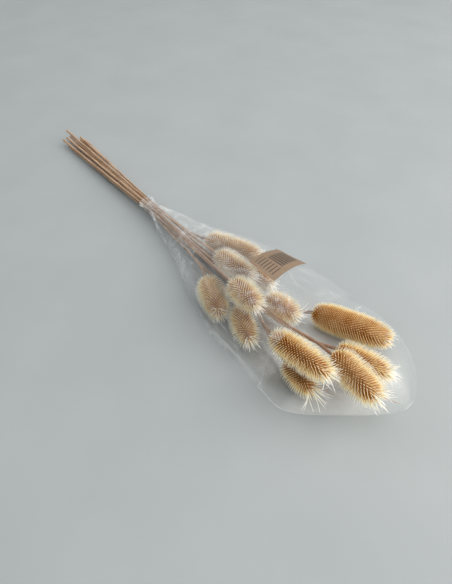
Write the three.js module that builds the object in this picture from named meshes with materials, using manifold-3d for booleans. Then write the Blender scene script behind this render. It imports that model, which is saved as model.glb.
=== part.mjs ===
// A bunch of dried teasel heads on cut stems, lying in an open clear-film sleeve.
// Millimetres, +Z up. The bunch lies along +X: cut stem ends at -X, head tips and the sleeve's mouth at +X.
// Places below are measured from the tied neck, on the surface that the bunch lies on.
// The finished bunch is then moved so that the origin is the bottom centre of its box.
import * as THREE from "three";
import { mergeVertices } from "three/addons/utils/BufferGeometryUtils.js";
import Module from "manifold-3d";

const wasm = await Module();
wasm.setup();

// Driving dimensions of a head
const SPINE_LENGTH = 6.4;
const SPINE_LENGTH_SPREAD = 0.12; // each spine differs by up to this share
const SPINE_REACH = 5.6; // how far a spine's tip stands out from the core
const SPINE_LEAN = { base: 0.25, tip: 0.62 }; // slope of the spines towards the head's tip
const BASE_SPINE_SHARE = 0.5; // the shortest spines, at the base, as a share of a full one
const BASE_GROWTH_ENDS = 0.16; // spines are full past this share of the core's length
const TUFT_LENGTH = 9.5; // the long spines round a head's tip
const TUFT_STARTS = 0.76; // spines grow to tuft length past this share of the core's length
const TIP_ALLOWANCE = 6.5; // what the tuft adds to the core's length
const ROW_STEP = 3.2; // along the core's profile, from one row of spines to the next
const LAST_STEP_SHARE = 0.6; // a last row closer to the tip than this share of a step is left out
const SPINES_PER_ROW = 12;
const ROW_TURN = 0.56; // turn from row to row in spine widths: half, and a little more for the spiral
const BASE_DISC_RADIUS = 2.4;
const CORE_WAIST = 0.46; // where the core is fullest, as a share of its length
// How the core is rounded at its two ends: 2 is an egg, more is a barrel
const CORE_POWERS = { long: { base: 3.2, tip: 2.8 }, short: { base: 2.5, tip: 2.2 } };
const LONG_CORE = 42;
const PROFILE_SAMPLES = 400;
const SPINE_SEED = 20260;

// Where each head's base and tip lie, and how far its spine tips reach from its axis
const HEADS = [
  { id: "01", base: [100, 17, 16], tip: [165, 47, 16], reach: 14.5, tone: "pale" },
  { id: "02", base: [147, -2, 37], tip: [198, 4, 37], reach: 15, tone: "pale" },
  { id: "03", base: [157, -27.5, 18], tip: [203, -46.5, 17.5], reach: 16, tone: "golden" },
  { id: "04", base: [198, -24, 48.5], tip: [238, -25, 48.5], reach: 16, tone: "pale" },
  { id: "05", base: [209, -26, 17], tip: [249, -45, 17], reach: 15.5, tone: "golden" },
  { id: "06", base: [221, 6, 20.5], tip: [260, 14, 20.5], reach: 15.5, tone: "pale" },
  { id: "07", base: [170, 23, 16], tip: [210, 25, 16], reach: 14.5, tone: "pale" },
  { id: "08", base: [266, 33, 18.5], tip: [341, 67, 18.5], reach: 17.2, tone: "golden" },
  { id: "09", base: [272, -36.4, 46], tip: [334, -27.6, 46], reach: 15.5, tone: "golden" },
  { id: "10", base: [322, -3.5, 37], tip: [375, -6.5, 34.5], reach: 17.4, tone: "golden" },
  { id: "11", base: [315, 16.2, 20.5], tip: [365, 32, 19.5], reach: 15, tone: "golden" },
  { id: "12", base: [290, -32.5, 15.5], tip: [331, -36, 15.5], reach: 14.5, tone: "golden" },
];

// Driving dimensions of a stem
const STEM_RADIUS = 1.7;
const STEM_SIDES = 6;
const STEM_STEP = 26; // length of one straight facet along a stem
const STEM_HEAD_GAP = 0.3;
const STEM_STRAIGHT = 9; // the last stretch, in line with its head
const SLOT_RADII = { outer: 6.1, inner: 2.2 }; // rings of stems in the tied neck

// How the bundle lies at its tied neck, just behind the tie and at its cut ends:
// its middle across and up, and how much wider and higher than at the neck it is spread
const BUNDLE = {
  neck: { across: 0, up: 14, wider: 1, higher: 1 },
  behind: { across: 0.4, up: 13, wider: 1.2, higher: 1.1 },
  cut: { across: 3, up: 6.6, wider: 2.4, higher: 0.8 },
};
const BEHIND_NECK = -32;

// Each stem: its place round the neck in degrees, where it was cut, and points that take it past other heads
const STEMS = [
  { id: "01", ring: "outer", turn: 40, cutAt: -236, via: [[45, 6.5, 17]] },
  { id: "02", ring: "outer", turn: 80, cutAt: -267, via: [[60, 0, 25], [110, -3, 34]] },
  { id: "03", ring: "outer", turn: 200, cutAt: -229, via: [[70, -11, 14.5], [125, -17, 18]] },
  { id: "04", ring: "outer", turn: 120, cutAt: -244, via: [[70, -7, 25], [140, -18, 39]] },
  {
    id: "05", ring: "outer", turn: 240, cutAt: -222,
    via: [[35, -5, 10.4], [70, -8.8, 12], [125, -14, 12.8], [170, -14, 12]],
  },
  { id: "06", ring: "outer", turn: 320, cutAt: -240, via: [[90, 2.5, 7.5], [170, 4, 11]] },
  { id: "07", ring: "outer", turn: 0, cutAt: -227, via: [[60, 6.5, 12.5], [105, 5.5, 12], [140, 10, 13.5]] },
  {
    id: "08", ring: "outer", turn: 280, cutAt: -233,
    via: [[60, 1, 5.5], [110, 0, 3.2], [165, 0, 2.6], [212, 8, 2.6], [240, 21, 5], [251, 27, 11.5]],
  },
  {
    id: "09", ring: "outer", turn: 160, cutAt: -248,
    via: [[90, -7.5, 17.5], [170, -9, 20.5], [222, -15, 31]],
  },
  {
    id: "10", ring: "inner", turn: 90, cutAt: -252,
    via: [[90, -1, 16.5], [170, -1, 18.5], [226, -10.5, 30.5], [262, -8.5, 31.5]],
  },
  {
    id: "11", ring: "inner", turn: 330, cutAt: -218,
    via: [[90, 1.5, 13], [170, 1.5, 14.5], [226, -11, 25.5], [264, -4.5, 22.5], [292, 4, 21]],
  },
  {
    id: "12", ring: "inner", turn: 210, cutAt: -256,
    via: [[90, -4, 12.8], [170, -5, 15], [224, -14, 21.5], [255, -24.5, 17.5]],
  },
];

// Driving dimensions of the film sleeve
const FILM_THICKNESS = 0.6;
const ARCH_POWERS = { right: 0.8, left: 0.6 }; // 1 gives a round arch, less a fuller one
const ARCH_SIDES = 22;
const FLOOR_SIDES = 10;

// Sections of the sleeve along the bunch: middle across, half width, height of the side folds,
// rise of the film over the folds, drop under them before the surface stops it, and sway of the crown
const SLEEVE_SECTIONS = [
  { at: -14, middle: 0, half: 11.5, fold: 14, rise: 11, drop: 10.5, sway: 0 },
  { at: -4, middle: 0, half: 8.6, fold: 14, rise: 8.8, drop: 8.8, sway: 0 },
  { at: 8, middle: 0, half: 9.2, fold: 13.8, rise: 9.6, drop: 9.2, sway: 0 },
  { at: 34, middle: 1, half: 17, fold: 10, rise: 21, drop: 10.2, sway: 0 },
  { at: 66, middle: 2, half: 25, fold: 5, rise: 32, drop: 18, sway: -1 },
  { at: 105, middle: 3.5, half: 37, fold: 3, rise: 41, drop: 20, sway: -2 },
  { at: 150, middle: 3.5, half: 53.5, fold: 3, rise: 54, drop: 20, sway: -4 },
  { at: 200, middle: 3, half: 61, fold: 3, rise: 67, drop: 20, sway: -9 },
  { at: 245, middle: 8, half: 67, fold: 3, rise: 68, drop: 20, sway: -14 },
  { at: 286, middle: 9, half: 71, fold: 3, rise: 67, drop: 20, sway: -22 },
];

// The sleeve's longer under layer, with a flat seam beside each side fold: from where the seams begin,
// along the left seam, round the lip past the mouth, and back along the right seam
const SEAMS_START = 150;
const SEAM_START_WIDTH = 1;
const LIP_OUTLINE = [
  [205, -63], [250, -64], [292, -67], [324, -62], [369, -13],
  [394, 24], [388, 52], [358, 84], [306, 98], [250, 86],
];
const LIP_STEPS = 40;

// Clear tape round the sleeve's neck, and the paper label on its upper side
const TAPE_SPAN = [-3, 7];
const TAPE_THICKNESS = 0.5;
const LABEL_SPAN = [201, 237];
const LABEL_TURNS = [0.195, 0.5]; // places round the arch, from the right fold at 0 to the left fold at 1
const LABEL_SKEW = -8; // how far along the bunch the label's right edge is shifted
const LABEL_THICKNESS = 0.6;
const LABEL_STEPS = { along: 6, across: 8 };
const STICK_GAP = 0.35; // between the film and what is stuck on it

const HEAD_COLOURS = { pale: 0xdcc9a6, golden: 0xd0a868 };
const STEM_COLOUR = 0xa9855c;
const FILM_COLOUR = 0xf2f5f6;
const LABEL_COLOUR = 0xb48a62;

const vector = (p) => new THREE.Vector3(...p);
const { lerp, smoothstep, degToRad } = THREE.MathUtils;

const dryMaterial = (color) => new THREE.MeshStandardMaterial({ color, roughness: 0.85, metalness: 0 });

const filmMaterial = () => new THREE.MeshStandardMaterial({
  color: FILM_COLOUR, roughness: 0.1, metalness: 0, transparent: true, opacity: 0.15,
});

function namedMesh(name, geometry, material) {
  const mesh = new THREE.Mesh(geometry, material);
  mesh.name = name;
  return mesh;
}

// A repeatable stream of numbers between 0 and 1
function randomStream(seed) {
  let state = seed >>> 0;
  return () => {
    state = (Math.imul(state, 1664525) + 1013904223) >>> 0;
    return state / 4294967296;
  };
}

// An indexed geometry from a list of points and a list of triangles
function geometryOf(points, triangles) {
  const geometry = new THREE.BufferGeometry();
  geometry.setAttribute("position", new THREE.Float32BufferAttribute(points.flatMap((p) => p.toArray()), 3));
  geometry.setIndex(triangles.flat());
  return geometry;
}

// A closed geometry as a solid that can be joined to another
function solidOf(geometry) {
  const bare = geometry.clone();
  bare.deleteAttribute("normal");
  bare.deleteAttribute("uv");
  const merged = mergeVertices(bare);
  return new wasm.Manifold(new wasm.Mesh({
    numProp: 3,
    vertProperties: merged.attributes.position.array,
    triVerts: new Uint32Array(merged.index.array),
  }));
}

function geometryOfSolid(solid) {
  const { vertProperties, triVerts } = solid.getMesh();
  const geometry = new THREE.BufferGeometry();
  geometry.setAttribute("position", new THREE.BufferAttribute(new Float32Array(vertProperties), 3));
  geometry.setIndex(new THREE.BufferAttribute(triVerts, 1));
  return geometry;
}

// Head: a core whose whole surface, past the base disc, is drawn out into four-sided spines

// The core's profile: blunt at the base, fullest below the middle, rounded to the tip
function coreProfile(length, radius) {
  const powers = length > LONG_CORE ? CORE_POWERS.long : CORE_POWERS.short;
  const profile = [];
  for (let i = 0; i <= PROFILE_SAMPLES; i++) {
    const share = i / PROFILE_SAMPLES;
    const power = share < CORE_WAIST ? powers.base : powers.tip;
    const away = Math.abs(share - CORE_WAIST) / (share < CORE_WAIST ? CORE_WAIST : 1 - CORE_WAIST);
    const swell = (1 - away ** power) ** (1 / power);
    profile.push(new THREE.Vector2(radius * swell, share * length));
  }
  return profile;
}

// Points evenly spaced along a profile, from the base disc's edge to one step short of the tip
function rowsAlong(profile) {
  const tip = profile[profile.length - 1];
  const start = profile.findIndex((p) => p.x >= BASE_DISC_RADIUS);
  const rows = [profile[start]];
  let travelled = 0;
  for (let i = start + 1; i < profile.length; i++) {
    travelled += profile[i].distanceTo(profile[i - 1]);
    if (travelled < ROW_STEP) continue;
    rows.push(profile[i]);
    travelled = 0;
  }
  if (rows[rows.length - 1].distanceTo(tip) < ROW_STEP * LAST_STEP_SHARE) rows.pop();
  return rows;
}

// Length of a spine at a share of the core's length: short at the base, full on the sides, long in the tuft
function spineLength(share) {
  const grown = lerp(BASE_SPINE_SHARE, 1, smoothstep(share, 0, BASE_GROWTH_ENDS));
  return lerp(SPINE_LENGTH * grown, TUFT_LENGTH, smoothstep(share, TUFT_STARTS, 1));
}

// A head along +Z with its base disc at the origin
function headGeometry(length, reach, random) {
  const coreLength = length - TIP_ALLOWANCE;
  const rows = rowsAlong(coreProfile(coreLength, reach - SPINE_REACH));
  const count = SPINES_PER_ROW;
  const points = rows.flatMap((p, row) => Array.from({ length: count }, (_, j) => {
    const turn = ((j + row * ROW_TURN) * 2 * Math.PI) / count;
    return new THREE.Vector3(p.x * Math.cos(turn), p.x * Math.sin(turn), p.y);
  }));
  const basePole = points.push(new THREE.Vector3(0, 0, rows[0].y)) - 1;
  const tipPole = points.push(new THREE.Vector3(0, 0, coreLength)) - 1;
  const triangles = [];

  // A cell has its left and right corners in one row, and its low and high corners in the rows beside it
  const corner = (row, j) => row * count + (j % count);
  const addSpine = (low, right, high, left) => {
    const middle = points[right].clone().add(points[left]).multiplyScalar(0.5);
    const upward = points[high].clone().sub(points[low]).normalize();
    const across = points[right].clone().sub(points[left]).normalize();
    const share = middle.z / coreLength;
    const direction = across.cross(upward).normalize();
    direction.addScaledVector(upward, lerp(SPINE_LEAN.base, SPINE_LEAN.tip, share)).normalize();
    const size = spineLength(share) * (1 + SPINE_LENGTH_SPREAD * (2 * random() - 1));
    const apex = points.push(middle.addScaledVector(direction, size)) - 1;
    triangles.push([low, right, apex], [right, high, apex], [high, left, apex], [left, low, apex]);
  };
  for (let j = 0; j < count; j++) {
    triangles.push([corner(0, j + 1), corner(0, j), basePole]);
    triangles.push([corner(0, j), corner(0, j + 1), corner(1, j)]);
  }
  for (let row = 1; row < rows.length; row++) {
    for (let j = 0; j < count; j++) {
      const high = row === rows.length - 1 ? tipPole : corner(row + 1, j);
      addSpine(corner(row - 1, j + 1), corner(row, j + 1), high, corner(row, j));
    }
  }
  return geometryOf(points, triangles);
}

function makeHead({ id, base, tip, reach, tone }, random) {
  const axis = vector(tip).sub(vector(base));
  const geometry = headGeometry(axis.length(), reach, random);
  const mesh = namedMesh(`teasel_head_${id}`, geometry, dryMaterial(HEAD_COLOURS[tone]));
  mesh.position.copy(vector(base));
  mesh.quaternion.setFromUnitVectors(new THREE.Vector3(0, 0, 1), axis.normalize());
  return mesh;
}

// Stem: a slim tube from its cut end, through its slot in the tied neck, to its head's base

// A stem's place in the bundle, at a place along the bunch where the bundle is spread as given
function bundlePoint({ ring, turn }, at, { across, up, wider, higher }) {
  const angle = degToRad(turn);
  const radius = SLOT_RADII[ring];
  return new THREE.Vector3(
    at,
    across + wider * radius * Math.cos(angle),
    up + higher * radius * Math.sin(angle),
  );
}

function stemPath(stem) {
  const head = HEADS.find(({ id }) => id === stem.id);
  const axis = vector(head.tip).sub(vector(head.base)).normalize();
  return new THREE.CatmullRomCurve3([
    bundlePoint(stem, stem.cutAt, BUNDLE.cut),
    bundlePoint(stem, BEHIND_NECK, BUNDLE.behind),
    bundlePoint(stem, 0, BUNDLE.neck),
    ...stem.via.map(vector),
    vector(head.base).addScaledVector(axis, -STEM_STRAIGHT),
    vector(head.base).addScaledVector(axis, -STEM_HEAD_GAP),
  ]);
}

function makeStem(stem) {
  const path = stemPath(stem);
  const section = new THREE.Shape(Array.from({ length: STEM_SIDES }, (_, i) => {
    const turn = (i * 2 * Math.PI) / STEM_SIDES;
    return new THREE.Vector2(STEM_RADIUS * Math.cos(turn), STEM_RADIUS * Math.sin(turn));
  }));
  const steps = Math.ceil(path.getLength() / STEM_STEP);
  const geometry = new THREE.ExtrudeGeometry(section, { steps, bevelEnabled: false, extrudePath: path });
  return namedMesh(`stem_${stem.id}`, geometry, dryMaterial(STEM_COLOUR));
}

// Sleeve: a tapering film tube over the bunch, tied at the neck, with a lip past its open mouth

// Each measure of the sleeve's section, smoothly between the listed places
const sectionMeasures = ["middle", "half", "fold", "rise", "drop", "sway"].map((name) => {
  const places = SLEEVE_SECTIONS.map((section) => section.at);
  const values = SLEEVE_SECTIONS.map((section) => section[name]);
  return [name, new THREE.CubicInterpolant(places, values, 1)];
});

function sectionAt(at) {
  return Object.fromEntries(sectionMeasures.map(([name, curve]) => [name, curve.evaluate(at)[0]]));
}

// A point of the film's upper side, inset from its outer face; turn is 0 at the right fold and 1 at the left
function archPoint(at, turn, inset) {
  const section = sectionAt(at);
  const crown = Math.max(Math.sin(turn * Math.PI), 0);
  const power = turn < 0.5 ? ARCH_POWERS.right : ARCH_POWERS.left;
  const reach = (section.half - inset) * Math.cos(turn * Math.PI);
  const height = section.fold + (section.rise - inset) * crown ** power;
  return new THREE.Vector3(at, section.middle + reach + section.sway * crown ** 2, height);
}

// A point of the film's under side, from the left fold to the right, flat where the surface stops it
function floorPoint(at, turn, inset) {
  const section = sectionAt(at);
  const reach = (section.half - inset) * Math.cos(turn * Math.PI);
  const height = section.fold - (section.drop - inset) * Math.sin(turn * Math.PI);
  return new THREE.Vector3(at, section.middle - reach, Math.max(height, inset));
}

function filmRing(at, inset) {
  const ring = [];
  for (let i = 0; i < ARCH_SIDES; i++) ring.push(archPoint(at, i / ARCH_SIDES, inset));
  for (let i = 0; i < FLOOR_SIDES; i++) ring.push(floorPoint(at, i / FLOOR_SIDES, inset));
  return ring;
}

// A closed wall between an outer and an inner layer of film rings at the same places
function tubeWall(places, outerInset, innerInset) {
  const layers = [outerInset, innerInset].map((inset) => places.map((at) => filmRing(at, inset)));
  const sides = ARCH_SIDES + FLOOR_SIDES;
  const last = places.length - 1;
  const triangles = [];
  const outer = (ring, i) => ring * sides + (i % sides);
  const inner = (ring, i) => (places.length + ring) * sides + (i % sides);
  const quad = (a, b, c, d) => triangles.push([a, b, c], [a, c, d]);
  for (let i = 0; i < sides; i++) {
    for (let ring = 0; ring < last; ring++) {
      quad(outer(ring, i), outer(ring, i + 1), outer(ring + 1, i + 1), outer(ring + 1, i));
      quad(inner(ring, i), inner(ring + 1, i), inner(ring + 1, i + 1), inner(ring, i + 1));
    }
    quad(outer(0, i), inner(0, i), inner(0, i + 1), outer(0, i + 1));
    quad(outer(last, i + 1), inner(last, i + 1), inner(last, i), outer(last, i));
  }
  return geometryOf(layers.flat(2), triangles);
}

// The under layer's seams and lip, flat on the surface
function lipGeometry() {
  const { middle, half } = sectionAt(SEAMS_START);
  const seamStart = (side) => new THREE.Vector2(SEAMS_START, middle + side * (half + SEAM_START_WIDTH));
  const edge = new THREE.SplineCurve(LIP_OUTLINE.map((p) => new THREE.Vector2(...p)));
  const shape = new THREE.Shape([seamStart(-1), ...edge.getPoints(LIP_STEPS), seamStart(1)]);
  return new THREE.ExtrudeGeometry(shape, { depth: FILM_THICKNESS, bevelEnabled: false });
}

function makeSleeve() {
  const places = SLEEVE_SECTIONS.flatMap(({ at }, i) => {
    const next = SLEEVE_SECTIONS[i + 1];
    return next ? [at, (at + next.at) / 2] : [at];
  });
  const tube = solidOf(tubeWall(places, 0, FILM_THICKNESS));
  const sleeve = tube.add(solidOf(lipGeometry()));
  return namedMesh("film_sleeve", geometryOfSolid(sleeve), filmMaterial());
}

// Tape: a band round the film's neck, just clear of it
function makeTape() {
  const [from, to] = TAPE_SPAN;
  const places = [from, (from + to) / 2, to];
  const wall = tubeWall(places, -STICK_GAP - TAPE_THICKNESS, -STICK_GAP);
  return namedMesh("neck_tape", wall, filmMaterial());
}

// Label: a sheet of paper that follows the film's upper side, just clear of it
function makeLabel() {
  const { along, across } = LABEL_STEPS;
  const face = (inset) => Array.from({ length: (along + 1) * (across + 1) }, (_, i) => {
    const row = Math.floor(i / (across + 1)) / along;
    const column = (i % (across + 1)) / across;
    const at = lerp(...LABEL_SPAN, row) + LABEL_SKEW * (1 - column);
    return archPoint(at, lerp(...LABEL_TURNS, column), inset);
  });
  const top = face(-STICK_GAP - LABEL_THICKNESS);
  const triangles = [];
  const upper = (row, column) => row * (across + 1) + column;
  const quad = (a, b, c, d) => triangles.push([a, b, c], [a, c, d]);
  const under = (...corners) => corners.map((k) => k + top.length);
  const rim = (a, b) => quad(b, a, ...under(a, b));
  for (let row = 0; row < along; row++) {
    for (let column = 0; column < across; column++) {
      const near = [upper(row, column), upper(row, column + 1)];
      const far = [upper(row + 1, column + 1), upper(row + 1, column)];
      const corners = [...near, ...far];
      quad(...corners);
      quad(...under(...corners).reverse());
    }
    rim(upper(row, across), upper(row + 1, across));
    rim(upper(row + 1, 0), upper(row, 0));
  }
  for (let column = 0; column < across; column++) {
    rim(upper(0, column), upper(0, column + 1));
    rim(upper(along, column + 1), upper(along, column));
  }
  const geometry = geometryOf([...top, ...face(-STICK_GAP)], triangles);
  return namedMesh("paper_label", geometry, dryMaterial(LABEL_COLOUR));
}

// Assembly

const bunch = new THREE.Group();
const random = randomStream(SPINE_SEED);
bunch.add(...HEADS.map((head) => makeHead(head, random)));
bunch.add(...STEMS.map(makeStem));
bunch.add(makeSleeve(), makeTape(), makeLabel());

const box = new THREE.Box3().setFromObject(bunch, true);
const centre = box.getCenter(new THREE.Vector3());
bunch.position.set(-centre.x, -centre.y, -box.min.z);

const part = new THREE.Group();
part.add(bunch);

export default part;
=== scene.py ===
# %% [markdown]
# # A dried teasel bunch in a clear sleeve
# Twelve bleached teasel heads lie on the table in a florist's film sleeve. The imported CAD model gives every
# piece its place, so the first step is to load it. Everything here is in metres.

# %% Load the frame
import math

import bmesh
import bpy
import numpy as np
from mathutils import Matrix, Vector, noise
from mathutils.bvhtree import BVHTree


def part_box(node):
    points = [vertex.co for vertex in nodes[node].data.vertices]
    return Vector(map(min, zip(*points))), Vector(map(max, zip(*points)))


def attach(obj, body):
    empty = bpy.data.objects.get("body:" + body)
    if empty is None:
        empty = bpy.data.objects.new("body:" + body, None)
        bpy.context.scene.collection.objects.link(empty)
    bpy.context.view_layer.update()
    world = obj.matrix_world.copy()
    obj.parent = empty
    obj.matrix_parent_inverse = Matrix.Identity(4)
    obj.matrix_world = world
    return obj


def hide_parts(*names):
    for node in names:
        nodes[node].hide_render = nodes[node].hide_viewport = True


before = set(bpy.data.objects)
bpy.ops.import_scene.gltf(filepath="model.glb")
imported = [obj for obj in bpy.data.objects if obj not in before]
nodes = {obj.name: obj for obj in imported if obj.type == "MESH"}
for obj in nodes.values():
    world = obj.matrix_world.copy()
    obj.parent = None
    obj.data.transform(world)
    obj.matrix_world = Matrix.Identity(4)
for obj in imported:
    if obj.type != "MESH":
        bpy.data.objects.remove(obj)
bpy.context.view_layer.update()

MM = 0.001

# %% [markdown]
# ## The camera
# The picture was taken from above the heads, looking down at half a right angle, with a wide lens quite
# near the bunch. A wide lens makes the near heads large and the far stems small, so the lens matters as
# much as the place.

# %% Camera
CAMERA_PLACE = Vector((351.1, -231.3, 380.0)) * MM
CAMERA_TURN = math.radians(50)
CAMERA_DIP = math.radians(50)
CAMERA_LENS = 25.89
SENSOR_WIDTH = 36.0

sight = Vector((
    -math.sin(CAMERA_TURN) * math.cos(CAMERA_DIP),
    math.cos(CAMERA_TURN) * math.cos(CAMERA_DIP),
    -math.sin(CAMERA_DIP),
))
bpy.ops.object.select_all(action="DESELECT")
bpy.ops.object.camera_add(location=CAMERA_PLACE, rotation=sight.to_track_quat("-Z", "Y").to_euler())
camera = bpy.context.active_object
camera.name = "photo_camera"
camera.data.lens = CAMERA_LENS
camera.data.sensor_width = SENSOR_WIDTH
camera.data.clip_start = 0.01
bpy.context.scene.camera = camera
print("camera", [round(v, 3) for v in CAMERA_PLACE], "lens", CAMERA_LENS)

# %% [markdown]
# ## Light
# Dried flowers look best in broad soft light. A large window lamp stands at the far right, so the heads are
# bright on that side and shade falls to the near left. A second lamp from the front right and a wide
# ceiling panel over the far left lift the shadows, and the pale world fills what is left.

# %% Lamps and world
LAMPS = (  # name, place, target, size in metres, power in watts, colour
    ("window_lamp", (1.25, 2.05, 1.40), (0.15, 0, 0), 2.0, 69, (1.0, 0.972, 0.915)),
    ("fill_lamp", (1.90, 0.15, 1.25), (0.20, 0, 0), 1.6, 37, (1.0, 0.98, 0.94)),
    ("ceiling_panel", (-1.05, 0.25, 2.10), (-0.55, 0.15, 0), 2.6, 36, (1.0, 0.99, 0.97)),
)
ROOM_COLOUR, ROOM_STRENGTH = (0.96, 1.0, 0.99, 1), 0.43


def soft_lamp(name, place, target, size, power, colour):
    """A square soft lamp that looks at a point."""
    aim = (Vector(target) - Vector(place)).to_track_quat("-Z", "Y").to_euler()
    bpy.ops.object.select_all(action="DESELECT")
    bpy.ops.object.light_add(type="AREA", location=place, rotation=aim)
    lamp = bpy.context.active_object
    lamp.name = name
    lamp.data.size = size
    lamp.data.energy = power
    lamp.data.color = colour


for lamp_row in LAMPS:
    soft_lamp(*lamp_row)
scene = bpy.context.scene
scene.world = bpy.data.worlds.new("pale_room")
scene.world.use_nodes = True
room = scene.world.node_tree.nodes["Background"]
room.inputs["Color"].default_value = ROOM_COLOUR
room.inputs["Strength"].default_value = ROOM_STRENGTH
scene.view_settings.view_transform = "Standard"
print("lamps", [row[0] for row in LAMPS])

# %% [markdown]
# ## Small helpers for materials
# Each finish is one Principled shader fed by a few pattern nodes. These helpers only add and join nodes, so
# that a material reads as a short list.

# %% Material helpers
def plain_shader(name, **values):
    """A new material and its Principled shader, with plain values on the shader's own sockets."""
    finish = bpy.data.materials.new(name)
    finish.use_nodes = True
    shader = finish.node_tree.nodes["Principled BSDF"]
    for socket, value in values.items():
        shader.inputs[socket.replace("_", " ")].default_value = value
    return finish, finish.node_tree, shader


def add(tree, kind, inputs=None, **settings):
    """One node with its settings and input values. A value that is a socket gets linked."""
    node = tree.nodes.new(kind)
    for key, value in settings.items():
        setattr(node, key, value)
    for key, value in (inputs or {}).items():
        if isinstance(value, bpy.types.NodeSocket):
            tree.links.new(value, node.inputs[key])
        else:
            node.inputs[key].default_value = value
    return node


def ramp(tree, value, stops):
    """A colour ramp over a value; stops are (place, colour)."""
    node = add(tree, "ShaderNodeValToRGB", {"Fac": value})
    points = node.color_ramp.elements
    while len(points) < len(stops):
        points.new(0.5)
    for point, (place, colour) in zip(points, stops):
        point.position = place
        point.color = (*colour, 1)
    return node.outputs["Color"]


def blend_colour(tree, share, first, second, mode="MIX"):
    """Two colours mixed by a share."""
    first, second = [c if isinstance(c, bpy.types.NodeSocket) else (*c, 1) for c in (first, second)]
    inputs = {0: share, 6: first, 7: second}
    return add(tree, "ShaderNodeMix", inputs, data_type="RGBA", blend_type=mode).outputs[2]


def sums(tree, operation, first, second):
    """One sum on two values."""
    return add(tree, "ShaderNodeMath", {0: first, 1: second}, operation=operation).outputs[0]


def plus_share(tree, value, share, rest, clamp=False):
    """A share of one value, added to the rest."""
    inputs = {0: value, 1: share, 2: rest}
    return add(tree, "ShaderNodeMath", inputs, operation="MULTIPLY_ADD", use_clamp=clamp).outputs[0]


def spread(tree, value, low, high, start=0.0, end=1.0):
    """A value that runs from start to end, spread from low to high."""
    inputs = {"Value": value, "From Min": start, "From Max": end, "To Min": low, "To Max": high}
    return add(tree, "ShaderNodeMapRange", inputs).outputs["Result"]


def cloud(tree, vector, scale, detail=2.0):
    """A soft noise."""
    inputs = {"Vector": vector, "Scale": scale, "Detail": detail}
    return add(tree, "ShaderNodeTexNoise", inputs).outputs["Fac"]


def carried(tree, name):
    """A value that the piece carries on its own points."""
    return add(tree, "ShaderNodeAttribute", attribute_name=name).outputs["Fac"]


def object_place(tree):
    """The place in the piece's own coordinates."""
    return tree.nodes.new("ShaderNodeTexCoord").outputs["Object"]


def bumped(tree, shader, height, distance, strength=0.6):
    """A relief on the shader's normal."""
    bump = add(tree, "ShaderNodeBump", {"Height": height, "Distance": distance, "Strength": strength})
    tree.links.new(bump.outputs["Normal"], shader.inputs["Normal"])


PATCH_EDGE = (0.38, 0.66)  # noise values between which a bleached patch fades in
PATCH_SOCKETS = (  # name, way, kind
    ("Vector", "INPUT", "Vector"), ("Patch Size", "INPUT", "Float"), ("Bleached", "OUTPUT", "Float"),
)


def weathered_patches():
    """A shared group: soft patches where sun and damp have bleached a dry plant."""
    group = bpy.data.node_groups.new("weathered_patches", "ShaderNodeTree")
    for name, way, kind in PATCH_SOCKETS:
        group.interface.new_socket(name, in_out=way, socket_type="NodeSocket" + kind)
    start = group.nodes.new("NodeGroupInput")
    end = group.nodes.new("NodeGroupOutput")
    scale = sums(group, "DIVIDE", 1.0, start.outputs["Patch Size"])
    mask = spread(group, cloud(group, start.outputs["Vector"], scale, 3.0), 0, 1, *PATCH_EDGE)
    group.links.new(mask, end.inputs["Bleached"])
    return group


WEATHER = weathered_patches()


def bleached(tree, vector, patch_size):
    """The shared patches placed in one material."""
    inputs = {"Vector": vector, "Patch Size": patch_size}
    return add(tree, "ShaderNodeGroup", inputs, node_tree=WEATHER).outputs["Bleached"]


print("shared groups", [g.name for g in bpy.data.node_groups])

# %% [markdown]
# ## Table
# The bunch lies on a pale grey table. It is one large plane with a faint mottle and a fine grain, and isn't
# part of the bunch.

# %% Table
TABLE_SIZE = 40.0
TABLE_STOPS = [(0.3, (0.259, 0.281, 0.291)), (0.7, (0.279, 0.301, 0.311))]

bpy.ops.object.select_all(action="DESELECT")
bpy.ops.mesh.primitive_plane_add(size=TABLE_SIZE)
table = bpy.context.active_object
table.name = "table_top"
paint, tree, shader = plain_shader("pale_table_paint", Roughness=0.62)
mottle = cloud(tree, object_place(tree), 9.0, 5.0)
tree.links.new(ramp(tree, mottle, TABLE_STOPS), shader.inputs["Base Color"])
bumped(tree, shader, cloud(tree, object_place(tree), 700.0), 0.2 * MM, 0.15)
table.data.materials.append(paint)
print("table", table.name)

# %% [markdown]
# ## Reading the stems back
# Every stem in the CAD model is a chain of six-sided rings. Walking over the mesh from the cut end, ring by
# ring, gives the line that the stem follows. The last ring also says where a head starts, so the heads come
# from the same line.

# %% Stem lines
STEM_SIDES = 6
HEAD_NAMES = sorted(name for name in nodes if name.startswith("teasel_head_"))


def merged_copy(node):
    """A loose-triangle CAD mesh as a joined copy."""
    copy = bmesh.new()
    copy.from_mesh(node.data)
    bmesh.ops.remove_doubles(copy, verts=copy.verts, dist=0.01 * MM)
    copy.verts.index_update()
    return copy


def stem_line(node):
    """The middle of each ring, from the cut end to the head."""
    copy = merged_copy(node)
    front = sorted(copy.verts, key=lambda v: (v.co.x, v.index))[:STEM_SIDES]
    seen = set(front)
    line = []
    while front:
        if len(front) >= STEM_SIDES:
            line.append(sum((v.co for v in front), Vector()) / len(front))
        near = {edge.other_vert(v) for v in front for edge in v.link_edges} - seen
        seen.update(near)
        front = sorted(near, key=lambda v: v.index)
    copy.free()
    return line


stem_lines = {name[-2:]: stem_line(nodes["stem_" + name[-2:]]) for name in HEAD_NAMES}
print("stem rings", {name: len(line) for name, line in stem_lines.items()})

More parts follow.
